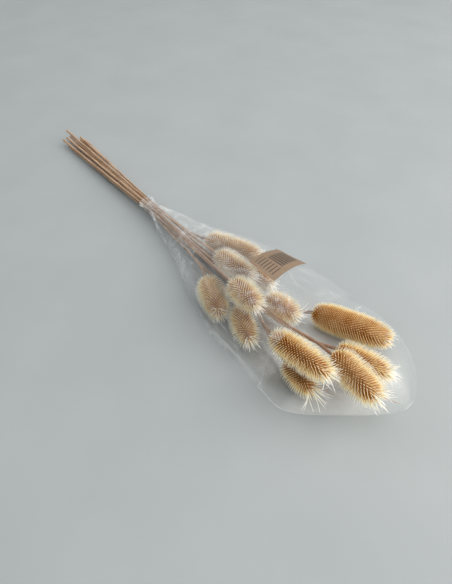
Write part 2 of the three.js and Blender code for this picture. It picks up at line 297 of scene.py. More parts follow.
# %% [markdown]
# ## One bract
# A teasel head is covered with stiff bracts: broad and boat-shaped at the root, then a straight needle. It
# is modelled once. A flat four-sided ring is extruded four times, made slimmer each time and moved a little
# towards the head's tip, and the last ring is merged to a point. Few faces matter here, because a head has
# hundreds of bracts.

# %% Model the bract
BRACT_SIDES = 4
BRACT_FLATNESS = 0.7  # thickness for its width
BRACT_STEPS = ((0.25, 0.80, 0.00), (0.32, 0.80, 0.01), (0.31, 0.66, 0.03))  # rise, slimming, towards the tip
BRACT_END = (0.12, 0.02)


def shape_bract():
    """One bract of unit length along Z, leaning to +Y."""
    bpy.ops.object.select_all(action="DESELECT")
    bpy.ops.mesh.primitive_circle_add(vertices=BRACT_SIDES, radius=1.0, fill_type="NGON")
    bract = bpy.context.active_object
    bpy.ops.object.mode_set(mode="EDIT")
    bpy.ops.mesh.select_all(action="SELECT")
    bpy.ops.transform.resize(value=(1, BRACT_FLATNESS, 1), center_override=(0, 0, 0))
    height = lean = 0.0
    for rise, slimming, forward in BRACT_STEPS:
        height += rise
        lean += forward
        bpy.ops.mesh.extrude_region_move(TRANSFORM_OT_translate={"value": (0, forward, rise)})
        bpy.ops.transform.resize(value=(slimming, slimming, 1), center_override=(0, lean, height))
    rise, forward = BRACT_END
    bpy.ops.mesh.extrude_region_move(TRANSFORM_OT_translate={"value": (0, forward, rise)})
    bpy.ops.mesh.merge(type="CENTER")
    bpy.ops.mesh.select_all(action="SELECT")
    bpy.ops.mesh.normals_make_consistent(inside=False)
    bpy.ops.object.mode_set(mode="OBJECT")
    points = np.array([v.co for v in bract.data.vertices])
    faces = [list(p.vertices) for p in bract.data.polygons]
    bpy.data.objects.remove(bract)
    return points, faces


bract_points, bract_faces = shape_bract()
heights = bract_points[:, 2]
middle_heights = np.unique(np.round(heights, 4))
middle_leans = [bract_points[np.abs(heights - h) < 0.001, 1].mean() for h in middle_heights]
lean_line = np.interp(heights, middle_heights, middle_leans)
bract_wide, bract_thick = bract_points[:, 0], bract_points[:, 1] - lean_line
print("bract", len(bract_points), "points", len(bract_faces), "faces")

# %% [markdown]
# ## Covering a head
# The core is a ball pulled to the head's egg shape. The bracts sit on it in the spiral that plants use:
# each one a golden angle further round, at a height that gives all of them the same room. Copying by hand
# would take days, so the copies are written straight into one mesh. Every point also keeps how far along
# its bract it lies and how light that bract is, and the colours are made from these.

# %% Head builder
GOLDEN_TURN = math.pi * (3 - math.sqrt(5))
WAIST = 0.46  # where a core is fullest
CORE_SEGMENTS, CORE_RINGS = 32, 24
COVERED, COVER_STEPS = (0.03, 0.97), 600  # the stretch of a core that bracts cover, and steps along it


def head_frame(name):
    """Base, axis, length and reach of a CAD head."""
    points = np.array([v.co for v in nodes[name].data.vertices])
    base = np.array(stem_lines[name[-2:]][-1])
    axis = points.mean(axis=0) - base
    axis /= np.linalg.norm(axis)
    along = (points - base) @ axis
    reach = np.linalg.norm((points - base) - np.outer(along, axis), axis=1).max()
    return base + axis * along.min(), axis, along.max() - along.min(), reach


def barrel_radius(share, radius, rounding):
    """The core's radius at a share of its length."""
    share = np.clip(share, 0, 1)
    power = np.where(share < WAIST, rounding[0], rounding[1])
    away = np.abs(share - WAIST) / np.where(share < WAIST, WAIST, 1 - WAIST)
    return radius * np.clip(1 - away**power, 0, 1) ** (1 / power)


def shape_core(base, axis, side, across, length, radius, rounding):
    """A ball with enough rings, pulled to the barrel shape along the axis."""
    bpy.ops.object.select_all(action="DESELECT")
    bpy.ops.mesh.primitive_uv_sphere_add(segments=CORE_SEGMENTS, ring_count=CORE_RINGS, radius=1)
    ball = bpy.context.active_object
    points = np.array([v.co for v in ball.data.vertices])
    faces = [list(p.vertices) for p in ball.data.polygons]
    bpy.data.objects.remove(ball)
    share = np.arccos(np.clip(-points[:, 2], -1, 1)) / math.pi
    turn = np.arctan2(points[:, 1], points[:, 0])
    share = 0.5 - 0.5 * np.cos(share * math.pi)
    ring = barrel_radius(share, radius, rounding)
    placed = base + np.outer(share * length, axis) + np.outer(ring * np.cos(turn), side)
    return placed + np.outer(ring * np.sin(turn), across), faces


def cover_spots(length, radius, rounding, room):
    """Share and turn of every bract, evenly over the barrel."""
    shares = 0.5 - 0.5 * np.cos(np.linspace(*COVERED, COVER_STEPS) * math.pi)
    rings = barrel_radius(shares, radius, rounding)
    steps = np.hypot(np.diff(rings), np.diff(shares) * length)
    area = np.concatenate([[0], np.cumsum(math.pi * (rings[1:] + rings[:-1]) * steps)])
    count = int(area[-1] / room)
    wanted = (np.arange(count) + 0.5) / count * area[-1]
    return np.interp(wanted, area, shares), np.arange(count) * GOLDEN_TURN


def unit(rows):
    """Every row made one long."""
    return rows / np.linalg.norm(rows, axis=1)[:, None]


def copy_bracts(roots, out, forward, lengths, widths, bends):
    """Every bract as placed points; out is its direction, forward the side it bends to."""
    def grown(sizes, profile):
        return np.outer(sizes, profile)[..., None]

    forward = unit(forward - out * np.sum(out * forward, axis=1)[:, None])
    sideways = np.cross(forward, out)
    bend = grown(bends, heights**2) * lengths[:, None, None]
    placed = roots[:, None] + out[:, None] * grown(lengths, heights)
    placed = placed + sideways[:, None] * grown(widths, bract_wide)
    return placed + forward[:, None] * (grown(widths, bract_thick) + grown(lengths, lean_line) + bend)


def copied_faces(count, first):
    """The faces of so many bract copies, whose points start at first."""
    starts = [first + copy * len(bract_points) for copy in range(count)]
    return [[start + i for i in face] for start in starts for face in bract_faces]


def mesh_piece(name, points, faces, finish, **attributes):
    """A new mesh object at the origin, with point attributes."""
    mesh = bpy.data.meshes.new(name)
    mesh.from_pydata(points.tolist(), [], faces)
    for key, values in attributes.items():
        carrier = mesh.attributes.new(key, "FLOAT", "POINT").data
        carrier.foreach_set("value", np.asarray(values, dtype=np.float32))
    mesh.materials.append(finish)
    mesh.update()
    piece = bpy.data.objects.new(name, mesh)
    scene.collection.objects.link(piece)
    return piece


def settle(piece, slot, *replaced):
    """Ride and stand for the CAD nodes; the slot is not used."""
    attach(piece, "root")
    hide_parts(*replaced)
    piece.data.calc_loop_triangles()
    print(piece.name, len(piece.data.loop_triangles), "triangles")


print("head builder ready for", len(HEAD_NAMES), "heads")

# %% [markdown]
# ## Bract finish
# Dry bracts are brown at the root, straw in the middle and nearly white at the needle's end, where the sun
# has bleached them most. They are thin enough for light to glow through, which Subsurface gives. Two
# finishes are enough: a golden one for most heads, and a paler one for three of those deep in the sleeve.
# The colour runs along the value that each bract carries, so it stays on the bract from every side.

# %% Bract finishes
BRACT_WHITE = (1.0, 0.985, 0.94)
BRACT_PLACES = (0.0, 0.22, 0.36, 0.52, 0.90, 1.0)  # deep root, root, middle, straw, needle, white end
BRACT_TONES = [(0.0, (0.80, 0.74, 0.66)), (0.5, (0.96, 0.95, 0.93)), (1.0, (1.0, 1.0, 1.0))]
ROOT_SHADE = 0.6
BLEACH_SHARE = 0.22


def bract_finish(name, root, middle, straw, needle, bleach):
    """A bract colour that runs from the root to the white end."""
    finish, tree, shader = plain_shader(
        name, Roughness=0.72, Specular_IOR_Level=0.15,
        Subsurface_Weight=0.65, Subsurface_Radius=(1.0, 0.82, 0.58), Subsurface_Scale=2.2 * MM)
    colours = ([ROOT_SHADE * c for c in root], root, middle, straw, needle, BRACT_WHITE)
    colour = ramp(tree, carried(tree, "along"), list(zip(BRACT_PLACES, colours)))
    patches = bleached(tree, object_place(tree), 16 * MM)
    colour = blend_colour(tree, sums(tree, "MULTIPLY", patches, BLEACH_SHARE), colour, bleach)
    shade = ramp(tree, carried(tree, "tone"), BRACT_TONES)
    tree.links.new(blend_colour(tree, 1.0, colour, shade, "MULTIPLY"), shader.inputs["Base Color"])
    bumped(tree, shader, cloud(tree, object_place(tree), 1800.0), 0.3 * MM, 0.35)
    return finish


HEAD_FINISH = {
    "golden_teasel": bract_finish(
        "golden_dry_bracts", root=(0.42, 0.125, 0.005), middle=(0.84, 0.50, 0.11), straw=(0.98, 0.82, 0.45),
        needle=(1.0, 0.96, 0.80), bleach=(0.95, 0.78, 0.45)),
    "pale_teasel": bract_finish(
        "pale_dry_bracts", root=(0.45, 0.205, 0.04), middle=(0.78, 0.60, 0.35), straw=(0.90, 0.85, 0.71),
        needle=(0.93, 0.92, 0.87), bleach=(0.98, 0.90, 0.72)),
}
print("bract finishes", list(HEAD_FINISH))

# %% [markdown]
# ## The twelve heads
# Each head is grown on its CAD place. The bracts stand in even spiral rows, straight out at the base and
# leaning more and more forwards towards the tip. A tuft of long, thin, bent bracts closes the tip, and two
# heads have a few long dark whiskers there. What is special about a head is listed by its number.

# %% Grow the heads
PALE_HEADS = ("01", "02", "07")
FINE_HEADS = ("01", "02", "03", "04", "05", "06", "07", "08")
FULLER_HEADS = {"01": 1.2, "03": 1.08}
LONG_HEAD = 42 * MM
LONG_ROUNDING, SHORT_ROUNDING = (3.2, 2.8), (2.5, 2.2)  # at base and tip; 2 is an egg, more a barrel
TIP_ROOM = 6.5 * MM
TABLE_CLEARANCE = 0.5 * MM  # the lowest needles are pressed flat on the film
NEEDLE, NEEDLE_IN_REACH = 10.0 * MM, 0.93
SHORT_NEEDLES = {"08": 7.2 * MM, "10": 9.6 * MM}
NEEDLE_GAP, FINE_GAP = 2.9 * MM, 2.75 * MM  # between neighbouring needle tips; the second on finer heads
HEX_ROOM = 0.866  # room of one needle in a honeycomb whose gap is one
BRACT_ROOT, ROOT_SINK = 0.48 * MM, 0.5 * MM
LEAN_PLACES, LEANS = (0, 0.06, 0.25, 0.7, 0.92, 1), (-42, -10, 4, 12, 34, 62)  # along the head; degrees
LENGTH_PLACES, LENGTHS = (0, 0.06, 0.2, 1), (0.6, 0.85, 1, 1.08)
TUFT_COUNT, TUFT_LENGTH, TUFT_WIDTH = 26, 16 * MM, 0.58 * MM
TUFT_SHARES = {"03": 0.7, "08": 0.7, "09": 1.1, "10": 1.1, "12": 1.35}  # heads with a shorter or longer tuft
WHISKERS = (  # head, turn and splay in degrees, length in millimetres, bend
    ("12", 215, 66, 22, -0.85), ("12", 190, 58, 24, -0.75), ("10", 165, 24, 24, 0.15),
)
WHISKER_WIDTH = 0.5 * MM
# Heads whose needles are less bleached, and how far along the bract colours they get.
GOLDEN_NEEDLES = {
    "01": 0.8, "02": 0.85, "05": 0.92, "06": 0.72, "07": 0.85, "08": 0.72, "09": 0.9, "11": 0.92, "12": 0.92,
}


def bract_set(luck, head, needle, gap):
    """Every bract of a head: placed points and its tone."""
    base, axis, side, across, length, radius, rounding = head
    room = gap**2 * HEX_ROOM * radius / (radius + needle)
    shares, turns = cover_spots(length, radius, rounding, room)
    count = len(shares)
    turns = turns + luck.normal(0, 0.006, count)
    ring = barrel_radius(shares, radius, rounding)
    outward = np.outer(np.cos(turns), side) + np.outer(np.sin(turns), across)
    roots = base + np.outer(shares * length, axis) + outward * (ring - ROOT_SINK)[:, None]
    lean = np.radians(np.interp(shares, LEAN_PLACES, LEANS) + luck.normal(0, 1.2, count))
    sway = np.cross(axis, outward) * luck.normal(0, 0.02, count)[:, None]
    out = unit(outward * np.cos(lean)[:, None] + np.outer(np.sin(lean), axis) + sway)
    lengths = needle * np.interp(shares, LENGTH_PLACES, LENGTHS) * luck.uniform(0.93, 1.05, count)
    widths = BRACT_ROOT * gap / NEEDLE_GAP * luck.uniform(0.85, 1.12, count)
    bends = luck.normal(0.03, 0.03, count)
    tones = luck.beta(2.4, 1.8, count)
    return copy_bracts(roots, out, np.tile(axis, (count, 1)), lengths, widths, bends), tones


def tip_fan(head, turns, splay):
    """Directions round a head's axis, and the same splayed out from its tip."""
    axis, side, across = head[1:4]
    rim = np.outer(np.cos(turns), side) + np.outer(np.sin(turns), across)
    return rim, unit(np.outer(np.cos(splay), axis) + rim * np.sin(splay)[:, None])


def tuft_set(luck, head, longer):
    """The long bent bracts round the tip."""
    base, axis, _, _, length, radius, rounding = head
    turns = luck.uniform(0, 2 * math.pi, TUFT_COUNT)
    splay = np.radians(luck.uniform(3, 44, TUFT_COUNT))
    rim, out = tip_fan(head, turns, splay)
    share = 1 - 0.075 * splay
    ring = barrel_radius(share, radius, rounding)
    roots = base + np.outer(share * length - 1.0 * MM, axis) + rim * (ring * 0.85)[:, None]
    lengths = TUFT_LENGTH * longer * luck.uniform(0.6, 1.1, TUFT_COUNT)
    bends = luck.uniform(-0.45, 0.6, TUFT_COUNT)
    return copy_bracts(roots, out, rim, lengths, np.full(TUFT_COUNT, TUFT_WIDTH), bends)


def whisker_set(mark, head):
    """The few extra-long dark bracts at a tip, if the head has any."""
    base, axis, _, _, length, radius, _ = head
    rows = np.array([row for name, *row in WHISKERS if name == mark]).reshape(-1, 4)
    rim, out = tip_fan(head, np.radians(rows[:, 0]), np.radians(rows[:, 1]))
    roots = np.tile(base + axis * (length - 2 * MM), (len(rows), 1)) + rim * 0.3 * radius
    return copy_bracts(roots, out, rim, rows[:, 2] * MM, np.full(len(rows), WHISKER_WIDTH), rows[:, 3])


def grow_head(name):
    """One head: core, bracts, tuft and whiskers in one mesh."""
    mark = name[-2:]
    luck = np.random.default_rng(int(mark) * 17 + 5)
    base, axis, full_length, reach = head_frame(name)
    reach *= FULLER_HEADS.get(mark, 1)
    needle = SHORT_NEEDLES.get(mark, NEEDLE)
    length = full_length - TIP_ROOM
    side = np.cross(axis, (0, 0, 1.0))
    side /= np.linalg.norm(side)
    rounding = LONG_ROUNDING if length > LONG_HEAD else SHORT_ROUNDING
    head = (base, axis, side, np.cross(axis, side), length, reach - NEEDLE_IN_REACH * needle, rounding)
    core_points, core_faces = shape_core(*head)
    bracts, tones = bract_set(luck, head, needle, FINE_GAP if mark in FINE_HEADS else NEEDLE_GAP)
    tuft = tuft_set(luck, head, TUFT_SHARES.get(mark, 1))
    whiskers = whisker_set(mark, head)
    copies = np.concatenate([bracts, tuft, whiskers])
    points = np.concatenate([core_points, copies.reshape(-1, 3)])
    points[:, 2] = np.maximum(points[:, 2], TABLE_CLEARANCE)
    faces = core_faces + copied_faces(len(copies), len(core_points))
    core = np.zeros(len(core_points))
    along = np.concatenate([
        core,
        np.tile(heights, len(bracts)) * GOLDEN_NEEDLES.get(mark, 1),
        np.tile(0.85 + 0.15 * heights, TUFT_COUNT),
        np.tile(0.1 * heights, len(whiskers)),
    ])
    tone = np.concatenate([
        core + 0.3,
        np.repeat(tones, len(heights)),
        np.ones(TUFT_COUNT * len(heights)),
        np.zeros(len(whiskers) * len(heights)),
    ])
    slot = "pale_teasel" if mark in PALE_HEADS else "golden_teasel"
    piece = mesh_piece("spiny_head_" + mark, points, faces, HEAD_FINISH[slot], along=along, tone=tone)
    piece.data.polygons.foreach_set("use_smooth", np.arange(len(faces)) < len(core_faces))
    settle(piece, slot, name)
    print("  bracts", len(bracts))
    return piece


heads = [grow_head(name) for name in HEAD_NAMES]

# %% [markdown]
# ## Stems
# A teasel stem is furrowed along its length and carries small prickles near the head. The stem's line
# becomes a curve with a ribbed ring as its bevel, which Blender sweeps along it. The curve is made a mesh,
# and its cut end gets an inset for the pale pith.

# %% Stem finish
STEM_STRETCH = (16.0, 900.0, 900.0)
STEM_STOPS = [(0.28, (0.12, 0.062, 0.036)), (0.48, (0.32, 0.195, 0.120)), (0.70, (0.56, 0.39, 0.26))]
# The stems inside the sleeve get a painted shade: a darker tint that grows along the bunch towards the heads.
STEM_PALE, STEM_PAINTED_SHADE, STEM_PITH = (0.52, 0.37, 0.25), (0.70, 0.64, 0.66), (0.74, 0.64, 0.46)
STEM_PAINTED_SHADE_SPAN = (-0.10, 0.02)  # along the bunch: where the shade starts and where it is full


def stem_finish():
    """Streaked bark with pale pith, and a painted shade that darkens the stems inside the sleeve."""
    finish, tree, shader = plain_shader("dry_stem_bark", Roughness=0.66, Specular_IOR_Level=0.3)
    place = object_place(tree)
    stretched = add(tree, "ShaderNodeMapping", {"Vector": place, "Scale": STEM_STRETCH}).outputs["Vector"]
    streak = cloud(tree, stretched, 1.0, 4.0)
    colour = ramp(tree, streak, STEM_STOPS)
    patches = bleached(tree, place, 50 * MM)
    colour = blend_colour(tree, sums(tree, "MULTIPLY", patches, 0.4), colour, STEM_PALE)
    along = add(tree, "ShaderNodeSeparateXYZ", {"Vector": place}).outputs["X"]
    # painted shade: the bark darkens along the bunch inside the sleeve
    colour = blend_colour(tree, spread(tree, along, 0, 0.8, *STEM_PAINTED_SHADE_SPAN), colour, STEM_PAINTED_SHADE, "MULTIPLY")
    colour = blend_colour(tree, carried(tree, "pith"), colour, STEM_PITH)
    tree.links.new(colour, shader.inputs["Base Color"])
    bumped(tree, shader, streak, 0.6 * MM, 0.5)
    return finish


stem_bark = stem_finish()
print("stem finish", stem_bark.name)

# %% Sweep the stems
STEM_RADIUS = 1.8 * MM
RIBS, RIB_VALLEY = 8, 0.84
STEM_SPAN = (0, 0.3, 0.5, 1)
STEM_SLIM = 0.76  # a stem's share of its thickness near the head
THIN_STEMS = {"01": 0.5, "08": 0.62}
PITH_INSET, PITH_DEPTH = 0.28 * MM, -0.15 * MM
PRICKLES, PRICKLE_WIDTH = 46, 0.3 * MM
PRICKLY_RINGS = 6  # of the stem's line, counted from the head


def pick(piece):
    """Selects one piece alone and makes it the active one."""
    bpy.ops.object.select_all(action="DESELECT")
    piece.select_set(True)
    bpy.context.view_layer.objects.active = piece


def reach_along(path):
    """How far along a path each of its points lies."""
    return np.concatenate([[0], np.cumsum(np.linalg.norm(np.diff(path, axis=0), axis=1))])


def on_path(path, places):
    """Points at given distances along a path."""
    reached = reach_along(path)
    return np.stack([np.interp(places, reached, path[:, k]) for k in range(3)], axis=1)


def ribbed_ring():
    """A closed ring with ribs, used as the bevel of every stem."""
    bpy.ops.object.select_all(action="DESELECT")
    bpy.ops.mesh.primitive_circle_add(vertices=2 * RIBS, radius=STEM_RADIUS)
    ring = bpy.context.active_object
    for index, point in enumerate(ring.data.vertices):
        if index % 2:
            point.co *= RIB_VALLEY
    bpy.ops.object.convert(target="CURVE")
    return bpy.context.active_object


def sweep_stem(mark, ring, luck):
    """The ribbed ring swept along one stem's line, as a mesh."""
    line = stem_lines[mark]
    curve = bpy.data.curves.new("stem_line_" + mark, "CURVE")
    curve.dimensions = "3D"
    curve.resolution_u = 5
    curve.bevel_mode = "OBJECT"
    curve.bevel_object = ring
    curve.use_fill_caps = True
    path = curve.splines.new("BEZIER")
    path.bezier_points.add(len(line) - 1)
    slim = THIN_STEMS.get(mark, STEM_SLIM)
    for number, (point, place) in enumerate(zip(path.bezier_points, line)):
        point.co = place
        point.handle_left_type = point.handle_right_type = "AUTO"
        taper = np.interp(number / len(line), STEM_SPAN, (1, 0.92, slim, slim))
        point.radius = luck.uniform(0.93, 1.05) * taper
    path.bezier_points[-1].radius = 1.1
    stem = bpy.data.objects.new("furrowed_stem_" + mark, curve)
    scene.collection.objects.link(stem)
    pick(stem)
    bpy.ops.object.convert(target="MESH")
    return bpy.context.active_object


def mend(piece, gap):
    """Merges points that meet and turns all faces outwards; the piece stays in Edit Mode."""
    pick(piece)
    bpy.ops.object.mode_set(mode="EDIT")
    bpy.ops.mesh.select_all(action="SELECT")
    bpy.ops.mesh.remove_doubles(threshold=gap)
    bpy.ops.mesh.normals_make_consistent(inside=False)


def open_cut_end(stem):
    """Insets the cut face and marks it as pith."""
    mend(stem, 0.005 * MM)
    bpy.ops.mesh.select_all(action="DESELECT")
    work = bmesh.from_edit_mesh(stem.data)
    work.faces.ensure_lookup_table()
    cut = min(work.faces, key=lambda f: (len(f.verts) <= 4, f.calc_center_median().x))
    cut.select_set(True)
    bmesh.update_edit_mesh(stem.data)
    bpy.ops.mesh.inset(thickness=PITH_INSET, depth=PITH_DEPTH)
    bpy.ops.object.mode_set(mode="OBJECT")
    pith = np.zeros(len(stem.data.vertices), dtype=np.float32)
    for face in stem.data.polygons:
        if face.select:
            pith[list(face.vertices)] = 1
    stem.data.attributes.new("pith", "FLOAT", "POINT").data.foreach_set("value", pith)


def add_prickles(stem, line, luck):
    """Short prickles on the stretch under the head, joined into the stem."""
    path = np.array(line[-PRICKLY_RINGS:])
    places = reach_along(path)[-1] * luck.uniform(0.05, 0.99, PRICKLES) ** 0.8
    heading = unit(on_path(path, places + 2 * MM) - on_path(path, places - 2 * MM))
    side = unit(np.cross(heading, np.tile((0, 0, 1.0), (PRICKLES, 1))))
    turn = luck.uniform(0, 2 * math.pi, PRICKLES)
    out = side * np.cos(turn)[:, None] + np.cross(heading, side) * np.sin(turn)[:, None]
    sizes = luck.uniform(0.9, 1.9, PRICKLES) * MM
    roots = on_path(path, places) + out * STEM_RADIUS * 0.8
    widths = np.full(PRICKLES, PRICKLE_WIDTH)
    copies = copy_bracts(roots, out, heading, sizes, widths, np.zeros(PRICKLES))
    pith = np.tile(0.25 + 0.35 * heights, PRICKLES)
    faces = copied_faces(PRICKLES, 0)
    prickles = mesh_piece("prickles", copies.reshape(-1, 3), faces, stem_bark, pith=pith)
    pick(stem)
    prickles.select_set(True)
    bpy.ops.object.join()


rib_ring = ribbed_ring()
for mark, line in stem_lines.items():
    luck = np.random.default_rng(int(mark) * 31 + 2)
    stem = sweep_stem(mark, rib_ring, luck)
    open_cut_end(stem)
    stem.data.materials.clear()
    stem.data.materials.append(stem_bark)
    add_prickles(stem, line, luck)
    pick(stem)
    bpy.ops.object.shade_smooth_by_angle(angle=math.radians(50))
    settle(stem, "dry_stem", "stem_" + mark)
bpy.data.objects.remove(rib_ring)

# %% [markdown]
# ## The film sleeve
# The sleeve is one tube of clear film: an upper layer that arches over the heads, and an under layer that
# lies on the table and runs on as a rounded lip. Its main shape is read from the CAD sleeve by rays at many
# places along it. The rings are evened out, and then the things that a CAD solid leaves out are added:
# pleats at the neck, straight creases, a crumpled patch and a slightly raised edge.

# %% Read the sleeve
STATION_STEP = 1.7 * MM
RAYS = 220
UPPER_POINTS, UNDER_POINTS = 121, 61
FLAT_LEVEL = 0.3 * MM
SAME_RING = 0.02 * MM
HEART_HEIGHT = 0.36  # of a ring's height: where its rays start


def read_back(name):
    """A CAD node's surface for rays, and its points."""
    copy = merged_copy(nodes[name])
    surface, spots = BVHTree.FromBMesh(copy), np.array([v.co for v in copy.verts])
    copy.free()
    return surface, spots


def round_way(step, count):
    """One of so many directions round the bunch."""
    turn = 2 * math.pi * step / count
    return Vector((0, math.cos(turn), math.sin(turn)))


sleeve_tree, sleeve_spots = read_back("film_sleeve")
sleeve_start = sleeve_spots[:, 0].min()
mouth = sleeve_spots[sleeve_spots[:, 2] > 20 * MM, 0].max()
lip_end = sleeve_spots[:, 0].max()
tape_low, tape_high = (np.array(v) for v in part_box("neck_tape"))
neck = (tape_low[0] + tape_high[0]) / 2


def evened(path, count):
    """A path with its points spread evenly."""
    return on_path(path, np.linspace(0, reach_along(path)[-1], count))


ring_hearts = []
for x in np.unique(np.round(sleeve_spots[:, 0], 5)):
    y, z = sleeve_spots[np.abs(sleeve_spots[:, 0] - x) < SAME_RING, 1:].T
    if x <= mouth + MM and np.ptp(z) > 8 * MM:
        ring_hearts.append((x, (y.min() + y.max()) / 2, z.min() + HEART_HEIGHT * np.ptp(z)))
ring_x, ring_y, ring_z = np.array(ring_hearts).T


def flat_edges(x):
    """Right and left edge of the film that lies on the table."""
    edges = []
    for way in (1, -1):
        start = Vector((x, way * 0.3, FLAT_LEVEL))
        hit = sleeve_tree.ray_cast(start, Vector((0, -way, 0)))[0]
        edges.append(None if hit is None else hit.y)
    return edges


def sleeve_ring(x):
    """Upper and under path of the sleeve at one place, each from right to left and back."""
    heart = Vector((x, np.interp(x, ring_x, ring_y), np.interp(x, ring_x, ring_z)))
    hits = [sleeve_tree.ray_cast(heart, round_way(ray, RAYS))[0] for ray in range(RAYS)]
    loop = np.array([hit for hit in hits if hit is not None])
    loop = np.roll(loop, -loop[:, 1].argmax(), axis=0)
    fold = loop[:, 1].argmin()
    upper, under = loop[:fold + 1], np.concatenate([loop[fold:], loop[:1]])
    right, left = flat_edges(x)
    if right is not None and loop[:, 2].min() < MM:
        seam_right = np.array([[x, max(right, loop[0, 1]), FLAT_LEVEL]])
        seam_left = np.array([[x, min(left, loop[fold, 1]), FLAT_LEVEL]])
        upper = np.concatenate([seam_right, upper, seam_left])
        under = np.concatenate([seam_left, under, seam_right])
    return evened(upper, UPPER_POINTS), evened(under, UNDER_POINTS)


stations = np.arange(sleeve_start + 0.4 * MM, mouth - 0.3 * MM, STATION_STEP)
rings = [sleeve_ring(x) for x in stations]
upper_film = np.array([ring[0] for ring in rings])
under_film = np.array([ring[1] for ring in rings])
print("sleeve", len(stations), "stations, mouth and lip end", [round(float(x), 3) for x in (mouth, lip_end)])

# %% Even out the rings
def calmed(grid, rounds):
    """A few rounds of averaging with the neighbours along and across; the borders stay."""
    grid = grid.copy()
    for _ in range(rounds):
        inner = grid[1:-1, 1:-1]
        near = grid[:-2, 1:-1] + grid[2:, 1:-1] + grid[1:-1, :-2] + grid[1:-1, 2:]
        grid[1:-1, 1:-1] = 0.5 * inner + 0.125 * near
    return grid


upper_film = calmed(upper_film, 14)
under_film = calmed(under_film, 6)
from_neck = (stations - neck)[:, None] / MM
upper_share = np.linspace(0, 1, UPPER_POINTS)[None, :]  # across the upper layer, from right to left
under_share = np.linspace(0, 1, UNDER_POINTS)  # across the under layer, from left to right
print("upper film", round(float(np.ptp(upper_film[..., 1])), 3), "wide at most")

# %% [markdown]
# ## Pleats and creases
# Film can't stretch, so where it is gathered it folds into pleats that fan out from the neck, and where it
# bends two ways it crumples into straight creases between flat facets. Both are heights added along the
# film's own normal. The heights are mostly outwards, because the heads are inside.

# %% Crease heights
PLEATS, PLEAT_HEIGHT = 9, 1.5  # the height in millimetres
CREASE_LINES = 26


def film_normals(grid):
    """The film's own outward direction at every point."""
    normal = np.cross(np.gradient(grid, axis=0), np.gradient(grid, axis=1))
    return normal / np.maximum(np.linalg.norm(normal, axis=2), 1e-12)[..., None]


def ridge(distance, width):
    """A tent-like ridge with a rounded top."""
    return np.exp(-(np.abs(distance) / width) ** 1.3)


def crumple(spots, size, seed):
    """Sharp valleys between soft facets."""
    shift = Vector((seed * 7.3, seed * 3.1, seed * 1.7))
    flat = spots.reshape(-1, 3)
    values = [abs(noise.noise(Vector(p) / size + shift)) for p in flat]
    return np.array(values).reshape(spots.shape[:-1])


def upper_creases():
    """The heights of pleats, creases and facets over the upper layer."""
    luck = np.random.default_rng(404)
    width = np.linalg.norm(np.diff(upper_film, axis=1), axis=2).sum(axis=1)[:, None] / MM
    swell = np.clip(np.abs(from_neck) / 16, 0.25, 1) * np.exp(-np.clip(from_neck, 0, None) / 42)
    wave = np.cos(2 * math.pi * (PLEATS * upper_share + 0.10 * np.sin(from_neck / 13 + 9 * upper_share)))
    height = PLEAT_HEIGHT * swell * (np.sign(wave) * np.abs(wave) ** 0.75)
    for _ in range(CREASE_LINES):
        start, reach = luck.uniform(8, 190), luck.uniform(25, 90)
        place, drift = luck.uniform(0.06, 0.94), luck.normal(0, 0.0011)
        line = place + drift * (from_neck - start)
        fade = np.clip(1 - np.abs(from_neck - start - reach / 2) / (reach / 2), 0, 1) ** 0.5
        crease = luck.uniform(0.25, 0.8) * fade
        height = height + crease * ridge((upper_share - line) * width, luck.uniform(1.8, 4.0))
    facets = crumple(upper_film * [0.6, 1, 1], 30 * MM, 1) * 2.0 + crumple(upper_film, 13 * MM, 2) * 0.55
    height = height + facets * np.clip(from_neck / 60, 0, 1)
    patch = np.exp(-(((from_neck - 95) / 40) ** 2) - ((upper_share - 0.86) / 0.10) ** 2)
    height = height + 2.2 * patch * crumple(upper_film * [1, 1.6, 1.6], 7 * MM, 3)
    edge = np.clip(np.minimum(upper_share, 1 - upper_share) / 0.05, 0, 1)
    return height * edge * MM


upper_height = upper_creases()
upper_shape = upper_film + film_normals(upper_film) * upper_height[..., None]
sharpness = np.abs(np.gradient(np.gradient(upper_height, axis=0), axis=0))
sharpness = sharpness + np.abs(np.gradient(np.gradient(upper_height, axis=1), axis=1))
print("creases up to", round(float(upper_height.max() / MM), 2), "mm")

# %% [markdown]
# ## The lip and the under layer
# The under layer has the same side edges as the upper one, so both are merged along their seams. Past the
# mouth it goes on alone to the lip's rounded end, lying on the table with its cut edge raised a little.
# Every point also carries how much light the film scatters there: at edges, seams and creases, at the
# crumpled neck and along the left side, and in the milky lip. The lip's haze is partly painted light that
# lifts the shade in front of the heads, and the haze over the stems is partly a painted sheen. A warm brown
# painted shade darkens the sleeve's low side, where the heads shade the table. These could be painted by
# hand, but a rule is quicker to change.

# %% Lip and joined film
LIP_CURL = 0.9 * MM
PULL_ARCS = ((72, -3), (103, -5), (110, -6), (119, -5), (128, -7), (141, -4))  # place and bow, in millimetres
# The lip's white haze is partly the film's milkiness and partly painted light that lifts the shade in front
# of the heads. The extra haze past the mouth, on the lip's left part, is painted light.
LIP_HAZE_AND_PAINTED_LIGHT = 5.0  # the lip lies in front of the light and looks a little milky
FRONT_PAINTED_LIGHT = 2.8  # and most where its front edge bends up
SEAMS_FROM = 150 * MM  # the welded side seams start this far from the neck
SEAM_COLUMNS = ((0, 0.3), (3, 0.2), (-4, 0.25), (-1, 0.45))  # in the upper layer, and how bright each is


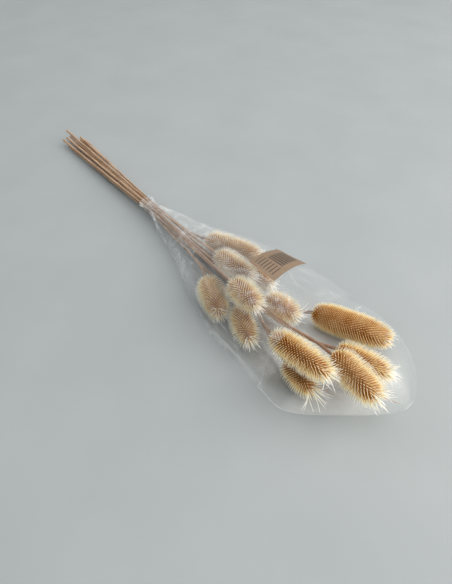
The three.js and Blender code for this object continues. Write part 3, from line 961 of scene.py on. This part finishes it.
def lip_rows():
    """The rows of the lip, with the curl of its edge."""
    rows = []
    for x in np.arange(stations[-1] + STATION_STEP, lip_end - 0.4 * MM, STATION_STEP):
        right, left = flat_edges(x)
        y = left + (right - left) * under_share
        gap = np.minimum(np.minimum(y - left, right - y), lip_end - x) / MM
        lift = [abs(noise.noise(Vector((x, v, 0)) / (22 * MM))) for v in y]
        curl = LIP_CURL * np.exp(-gap / 4.5) * (0.35 + np.array(lift) * 1.6)
        z = FLAT_LEVEL + curl * min(1, (x - mouth) / (12 * MM) + 0.2)
        rows.append(np.stack([np.full_like(y, x), y, z], axis=1))
    return np.array(rows)


def grid_faces(rows, columns, first):
    """Four-sided faces over a grid of points that start at first."""
    index = first + np.arange(rows * columns).reshape(rows, columns)
    four = (index[:-1, :-1], index[:-1, 1:], index[1:, 1:], index[1:, :-1])
    return np.stack(four, axis=-1).reshape(-1, 4).tolist()


def haze_map():
    """How crumpled, and so how milky, the upper film is: most at the neck and along its left side. Over the
    stems it is partly a painted sheen.
    """
    gathered = 0.45 * np.exp(-((from_neck - 4) / 32) ** 2)
    left_band = np.exp(-((upper_share - 0.93) / 0.13) ** 2)
    left_band = left_band * np.interp(from_neck, (0, 35, 120, 175), (0.45, 0.8, 0.8, 0.35))
    # a painted sheen: a broad white veil over the stems
    painted_sheen_over_stems = 0.45 * np.exp(-((from_neck - 100) / 50) ** 2 - ((upper_share - 0.5) / 0.30) ** 2)
    return np.clip(gathered + left_band + painted_sheen_over_stems, 0, 1)


def painted_shade_map(points):
    """A painted shade: the warm darkening of the sleeve's low side, on one layer's points."""
    past_neck = (points[..., 0] - neck) / MM
    low_side = np.interp(points[..., 1] / MM, (-45, -8), (1, 0))
    from_seam = (points[..., 1] - points[..., 1].min(axis=1)[:, None]) / MM
    low_side = low_side * np.interp(from_seam, (4, 18), (0.15, 1))
    return low_side * np.interp(past_neck, (60, 130, 215, 245, 285, 315), (0, 0.35, 0.6, 1.25, 1.25, 0.3))


def pull_arcs():
    """Short bright arcs where the film is pulled in beside the stems, on the upper layer."""
    inward = np.clip((1 - upper_share) / 0.24, 0, 1)
    arcs = np.zeros((len(stations), UPPER_POINTS))
    for centre, bow in PULL_ARCS:
        bent = centre + 4 * inward + bow * np.sin(math.pi * inward)
        arcs = np.maximum(arcs, np.exp(-((from_neck - bent) / 1.1) ** 2) * np.clip(4 * (1 - inward), 0, 1))
    return arcs


lip = lip_rows()
under_shape = np.concatenate([under_film, lip])
# The warm painted shade of the under layer.
painted_shade_under = painted_shade_map(under_shape)
under_shape[:len(stations), 0] = upper_shape[:, -1]
under_shape[:len(stations), -1] = upper_shape[:, 0]
film_points = np.concatenate([upper_shape.reshape(-1, 3), under_shape.reshape(-1, 3)])
film_faces = grid_faces(*upper_shape.shape[:2], 0)
film_faces += grid_faces(*under_shape.shape[:2], len(stations) * UPPER_POINTS)
print("lip rows", len(lip), "film points", len(film_points))

# %% What the film carries
rim_upper = np.zeros(upper_shape.shape[:2])
rim_upper[-1] = np.interp(upper_share[0], (0, 0.1, 0.8, 0.9), (0.6, 0.2, 0.2, 0.8))
rim_upper[0] = 0.2
for column, strength in SEAM_COLUMNS:
    rim_upper[stations > neck + SEAMS_FROM, column] = strength
rim_upper = np.maximum(rim_upper, 0.8 * pull_arcs())
rim_under = np.zeros(under_shape.shape[:2])
rim_under[-1] = 0.6
rim_under[len(stations):, 0] = 0.8
rim_under[len(stations):, -1] = 0.15
crease_upper = np.clip(sharpness / (0.22 * MM), 0, 1)
crease_upper *= np.interp(stations - neck, (0, 45 * MM), (0.3, 1))[:, None]
past_mouth = under_shape[..., 0] - mouth
# The under layer's haze, stored as its crease value: milky lip and painted light, and past the mouth on the
# left painted light alone.
under_haze_and_painted_light = LIP_HAZE_AND_PAINTED_LIGHT * np.clip(past_mouth / (90 * MM) + 1, 0, 1)
under_haze_and_painted_light *= np.interp(under_share, (0, 0.22, 0.4, 0.65, 0.8, 1), (0.03, 0.12, 1, 1, 0.3, 0.07))
front_painted_light = np.interp(past_mouth, (22 * MM, 44 * MM), (0, FRONT_PAINTED_LIGHT))
front_painted_light *= np.interp(under_share, (0, 0.03, 0.25, 0.4), (0.3, 1, 1, 0))
under_haze_and_painted_light = np.maximum(under_haze_and_painted_light, front_painted_light)
under_haze_and_painted_light *= np.interp(lip_end - under_shape[..., 0], (4 * MM, 34 * MM), (0.15, 1))
film_layers = {
    "rim": (rim_upper, rim_under),
    "crease": (crease_upper, under_haze_and_painted_light),
    "haze": (haze_map(), np.zeros(under_shape.shape[:2])),
    # a warm painted shade on the sleeve's low side, on both layers
    "painted_shade": (painted_shade_map(upper_shape), painted_shade_under),
}
film_values = {name: np.concatenate([layer.ravel() for layer in pair]) for name, pair in film_layers.items()}
print("film carries", {name: round(float(values.mean()), 3) for name, values in film_values.items()})

# %% [markdown]
# ## Film finish
# A clear film lets nearly all light through and mirrors a little of it, more where it is seen at a slant. A
# mirror with a low opacity does just that: the opacity is the share that the film reflects. Creases, cut
# edges and haze scatter light, so they get more opacity and less mirror; part of the haze is painted light.
# The painted shade gives a brown veil. Glass would need refraction, which a film this thin doesn't show.

# %% Film finish
# The film's second colour is the warm brown of a painted shade on the sleeve's low side.
FILM_CLEAR, FILM_PAINTED_SHADE, FILM_WHITE = (0.78, 0.83, 0.86), (0.21, 0.155, 0.10), (0.95, 0.97, 0.98)
FILM_MIRROR, FILM_ROUGHNESS = (0.5, 0.12), (0.14, 0.30)
# How much opacity the painted shade adds.
PAINTED_SHADE_SHARE = 0.17
WRINKLES = (((14, 80, 80), 0.12), ((52, 34, 34), -0.5))  # scale and turn of each stretched noise
WRINKLE_WIDTH = 0.04


def wrinkle_lines(tree):
    """Fine bright lines of crumpled film: the places where a stretched noise crosses its middle."""
    place = object_place(tree)
    total = None
    for scale, turn in WRINKLES:
        laid = add(tree, "ShaderNodeMapping", {"Vector": place, "Scale": scale, "Rotation": (0, 0, turn)})
        middle = sums(tree, "SUBTRACT", cloud(tree, laid.outputs["Vector"], 1.0, 1.0), 0.5)
        line = spread(tree, sums(tree, "ABSOLUTE", middle, 0.0), 1.0, 0.0, 0.0, WRINKLE_WIDTH)
        total = line if total is None else sums(tree, "MAXIMUM", total, line)
    return total


def film_finish(name, clear, slant, crease_share, rim_share, haze_share):
    """A faint mirror whose opacity is what the film reflects and scatters, with a brown painted shade."""
    finish, tree, shader = plain_shader(name)
    crease, rim, haze, painted_shade = [carried(tree, key) for key in ("crease", "rim", "haze", "painted_shade")]
    milky = sums(tree, "MULTIPLY", haze, plus_share(tree, wrinkle_lines(tree), 1.3, 0.4))
    facing = add(tree, "ShaderNodeLayerWeight", {"Blend": 0.35}).outputs["Facing"]
    opacity = plus_share(tree, sums(tree, "POWER", facing, 3.0), slant, clear)
    # On the under layer the crease value is the lip's haze, which is partly painted light.
    opacity = plus_share(tree, crease, crease_share, opacity)
    for value, share in ((rim, rim_share), (milky, haze_share), (painted_shade, PAINTED_SHADE_SHARE)):
        opacity = plus_share(tree, value, share, opacity, clamp=True)
    tree.links.new(opacity, shader.inputs["Alpha"])
    scatter = sums(tree, "ADD", sums(tree, "ADD", crease, rim), milky)
    scatter = sums(tree, "MINIMUM", scatter, 1.0)
    # painted shade: the film turns warm brown where the shade is painted
    colour = blend_colour(tree, painted_shade, FILM_CLEAR, FILM_PAINTED_SHADE)
    tree.links.new(blend_colour(tree, scatter, colour, FILM_WHITE), shader.inputs["Base Color"])
    tree.links.new(spread(tree, scatter, *FILM_MIRROR), shader.inputs["Metallic"])
    place = object_place(tree)
    bumped(tree, shader, cloud(tree, place, 160.0, 3.0), 1.2 * MM, 0.25)
    tree.links.new(spread(tree, cloud(tree, place, 45.0, 4.0), *FILM_ROUGHNESS), shader.inputs["Roughness"])
    return finish


clear_film = film_finish("clear_sleeve_film", 0.038, 0.20, 0.10, 0.26, 0.30)
print("film finish", clear_film.name)


def close_sheet(sheet, gap):
    """Merges a sheet's seams and shades it smooth."""
    mend(sheet, gap)
    bpy.ops.object.mode_set(mode="OBJECT")
    bpy.ops.object.shade_smooth_by_angle(angle=math.radians(60))


film = mesh_piece("clear_sleeve", film_points, film_faces, clear_film, **film_values)
close_sheet(film, 0.02 * MM)
settle(film, "clear_film", "film_sleeve")
film_area = sum(face.area for face in film.data.polygons)
print("film area", round(film_area, 4), "square metres")

# %% [markdown]
# ## Needles against the film
# In the real sleeve the film stops the needles of the heads that lie at its sides, and they rest bent along
# it. A ray from the head's axis to each needle point finds the film, and a point that lies past it is
# brought back just inside.

# %% Press the needles in
FILM_CLEARANCE = 0.4 * MM
film_spots = [v.co for v in film.data.vertices]
film_tree = BVHTree.FromPolygons(film_spots, [list(p.vertices) for p in film.data.polygons])


def press_needles(head, name):
    """Brings the points of one head that lie past the film back inside it."""
    base, axis, length, _ = head_frame(name)
    pressed = 0
    for point in head.data.vertices:
        if point.co.x > mouth:
            continue
        heart = Vector(base + axis * np.clip((np.array(point.co) - base) @ axis, 0, length))
        way = point.co - heart
        if way.length < FILM_CLEARANCE:
            continue
        distance = film_tree.ray_cast(heart, way, way.length)[3]
        if distance is not None:
            point.co = heart + way.normalized() * (distance - FILM_CLEARANCE)
            pressed += 1
    head.data.update()
    return pressed


print("pressed needle points", [press_needles(*pair) for pair in zip(heads, HEAD_NAMES)])

# %% [markdown]
# ## Label
# The sticker is a small kraft paper sheet that follows the film's arch. A grid is laid over the CAD label's
# four corners and dropped on it by rays, then smoothed. Its print is only a few plain bars.

# %% Label sheet
LABEL_ROWS, LABEL_COLUMNS = 22, 36
LABEL_LIFT = 0.3 * MM
LABEL_INWARD = 0.985  # rays start a little inside the outline, so that they hit the CAD label

label_tree, label_spots = read_back("paper_label")
label_middle = label_spots.mean(axis=0)
along_label, across_label, _ = ((label_spots - label_middle) / np.ptp(label_spots, axis=0)).T
corners = {
    (a, b): label_spots[(along_label * a + across_label * b).argmax()] for a in (-1, 1) for b in (-1, 1)
}


def label_spot(along, across):
    """A point on the label's top, from its shares along the bunch and across it."""
    near = corners[-1, -1] * (1 - across) + corners[-1, 1] * across
    far = corners[1, -1] * (1 - across) + corners[1, 1] * across
    flat = near * (1 - along) + far * along
    inward = label_middle + (flat - label_middle) * LABEL_INWARD
    hit = label_tree.ray_cast(Vector((inward[0], inward[1], 0.2)), Vector((0, 0, -1)))[0]
    if hit is None:
        return list(label_tree.find_nearest(Vector(flat))[0])
    return [flat[0], flat[1], hit.z]


label_grid = np.array([
    [label_spot(row / (LABEL_ROWS - 1), column / (LABEL_COLUMNS - 1)) for column in range(LABEL_COLUMNS)]
    for row in range(LABEL_ROWS)
])
label_grid = calmed(label_grid, 8)
label_grid[..., 2] += LABEL_LIFT
label_sides = [np.linalg.norm(label_grid[0, 0] - label_grid[corner]) / MM for corner in ((-1, 0), (0, -1))]
print("label", [round(float(side), 1) for side in label_sides])

# %% [markdown]
# ## Label finish
# Kraft paper is brown with darker and lighter fibres and a slight sheen. The print follows the paper, so it
# is drawn on the label's own UV map: one block of even bars and a few plain rules.

# %% Label finish
LABEL_STOPS = [(0.3, (0.152, 0.103, 0.069)), (0.7, (0.239, 0.165, 0.111))]
LABEL_INK, INK_SHARE = (0.022, 0.019, 0.018), 0.85
BAR_BLOCK = ((0.24, 0.78), (0.37, 0.85))  # along and across the paper
RULE_BLOCK = ((0.12, 0.88), (0.08, 0.32))
BARS, RULES = (14.0, 0.68), (9.0, 0.30)  # how many, and the inked share of each


def label_finish():
    """Fibrous brown paper with a block of bars and a few rules."""
    finish, tree, shader = plain_shader("kraft_paper", Roughness=0.55, Specular_IOR_Level=0.35)
    fibre = cloud(tree, object_place(tree), 900.0, 4.0)
    colour = ramp(tree, fibre, LABEL_STOPS)
    paper = add(tree, "ShaderNodeUVMap", uv_map="paper")
    parts = add(tree, "ShaderNodeSeparateXYZ", {"Vector": paper.outputs["UV"]})
    u, v = parts.outputs["X"], parts.outputs["Y"]

    def both(first, second):
        return sums(tree, "MULTIPLY", first, second)

    def inside(value, low, high):
        return both(sums(tree, "GREATER_THAN", value, low), sums(tree, "LESS_THAN", value, high))

    def block(along, across):
        return both(inside(u, *along), inside(v, *across))

    def stripes(value, count, ink):
        return sums(tree, "LESS_THAN", sums(tree, "FRACT", both(value, count), 0.0), ink)

    bars = both(block(*BAR_BLOCK), stripes(v, *BARS))
    rules = both(block(*RULE_BLOCK), stripes(u, *RULES))
    ink = both(sums(tree, "MAXIMUM", bars, rules), INK_SHARE)
    tree.links.new(blend_colour(tree, ink, colour, LABEL_INK), shader.inputs["Base Color"])
    bumped(tree, shader, fibre, 0.3 * MM, 0.3)
    return finish


label_faces = grid_faces(LABEL_ROWS, LABEL_COLUMNS, 0)
label = mesh_piece("kraft_label", label_grid.reshape(-1, 3), label_faces, label_finish())
paper_map = label.data.uv_layers.new(name="paper")
for loop in label.data.loops:
    row, column = divmod(loop.vertex_index, LABEL_COLUMNS)
    paper_map.data[loop.index].uv = (row / (LABEL_ROWS - 1), column / (LABEL_COLUMNS - 1))
label.data.polygons.foreach_set("use_smooth", np.ones(len(label_faces), dtype=bool))
settle(label, "kraft_label", "paper_label")

# %% [markdown]
# ## Tape
# A turn of clear tape keeps the sleeve gathered. It hugs the pleats, so its ring is read from the CAD tape
# by rays and then pressed a little into the film's folds.

# %% Tape ring
TAPE_POINTS, TAPE_ROWS = 72, 9
TAPE_PRESS, TAPE_EDGE = 0.35 * MM, 0.1 * MM
# The tape's haze, and a brown painted shade that matches the shaded neck.
TAPE_HAZE, TAPE_PAINTED_SHADE = 0.4, 0.5

tape_tree, _ = read_back("neck_tape")
tape_heart = (tape_low + tape_high) / 2


def tape_ring(x, row):
    """One ring of the tape, pressed into the pleats."""
    ring = []
    for point in range(TAPE_POINTS):
        way = round_way(point, TAPE_POINTS)
        hit = tape_tree.ray_cast(Vector((x, *tape_heart[1:])) + way * 0.05, -way)[0]
        fold = 2 * PLEATS * (2 * math.pi * point / TAPE_POINTS) + 0.5 * row
        ring.append(np.array(hit - way * TAPE_PRESS * (0.5 + 0.5 * math.cos(fold))))
    return ring


tape_places = np.linspace(tape_low[0] + TAPE_EDGE, tape_high[0] - TAPE_EDGE, TAPE_ROWS)
tape_grid = np.array([tape_ring(x, row) for row, x in enumerate(tape_places)])
tape_grid = np.concatenate([tape_grid, tape_grid[:, :1]], axis=1)
clear_tape = film_finish("clear_tape_film", 0.04, 0.14, 0.0, 0.05, 0.12)
tape_rim = np.zeros(tape_grid.shape[:2])
tape_rim[[0, -1]] = 1
tape_values = {
    "rim": tape_rim.ravel(),
    "crease": np.zeros(tape_rim.size),
    "haze": np.full(tape_rim.size, TAPE_HAZE),
    # the tape's brown painted shade
    "painted_shade": np.full(tape_rim.size, TAPE_PAINTED_SHADE),
}
tape_faces = grid_faces(TAPE_ROWS, TAPE_POINTS + 1, 0)
tape = mesh_piece("clear_tape", tape_grid.reshape(-1, 3), tape_faces, clear_tape, **tape_values)
close_sheet(tape, 0.01 * MM)
settle(tape, "clear_tape", "neck_tape")
print("tape round", round(float(reach_along(tape_grid[TAPE_ROWS // 2])[-1]), 4))
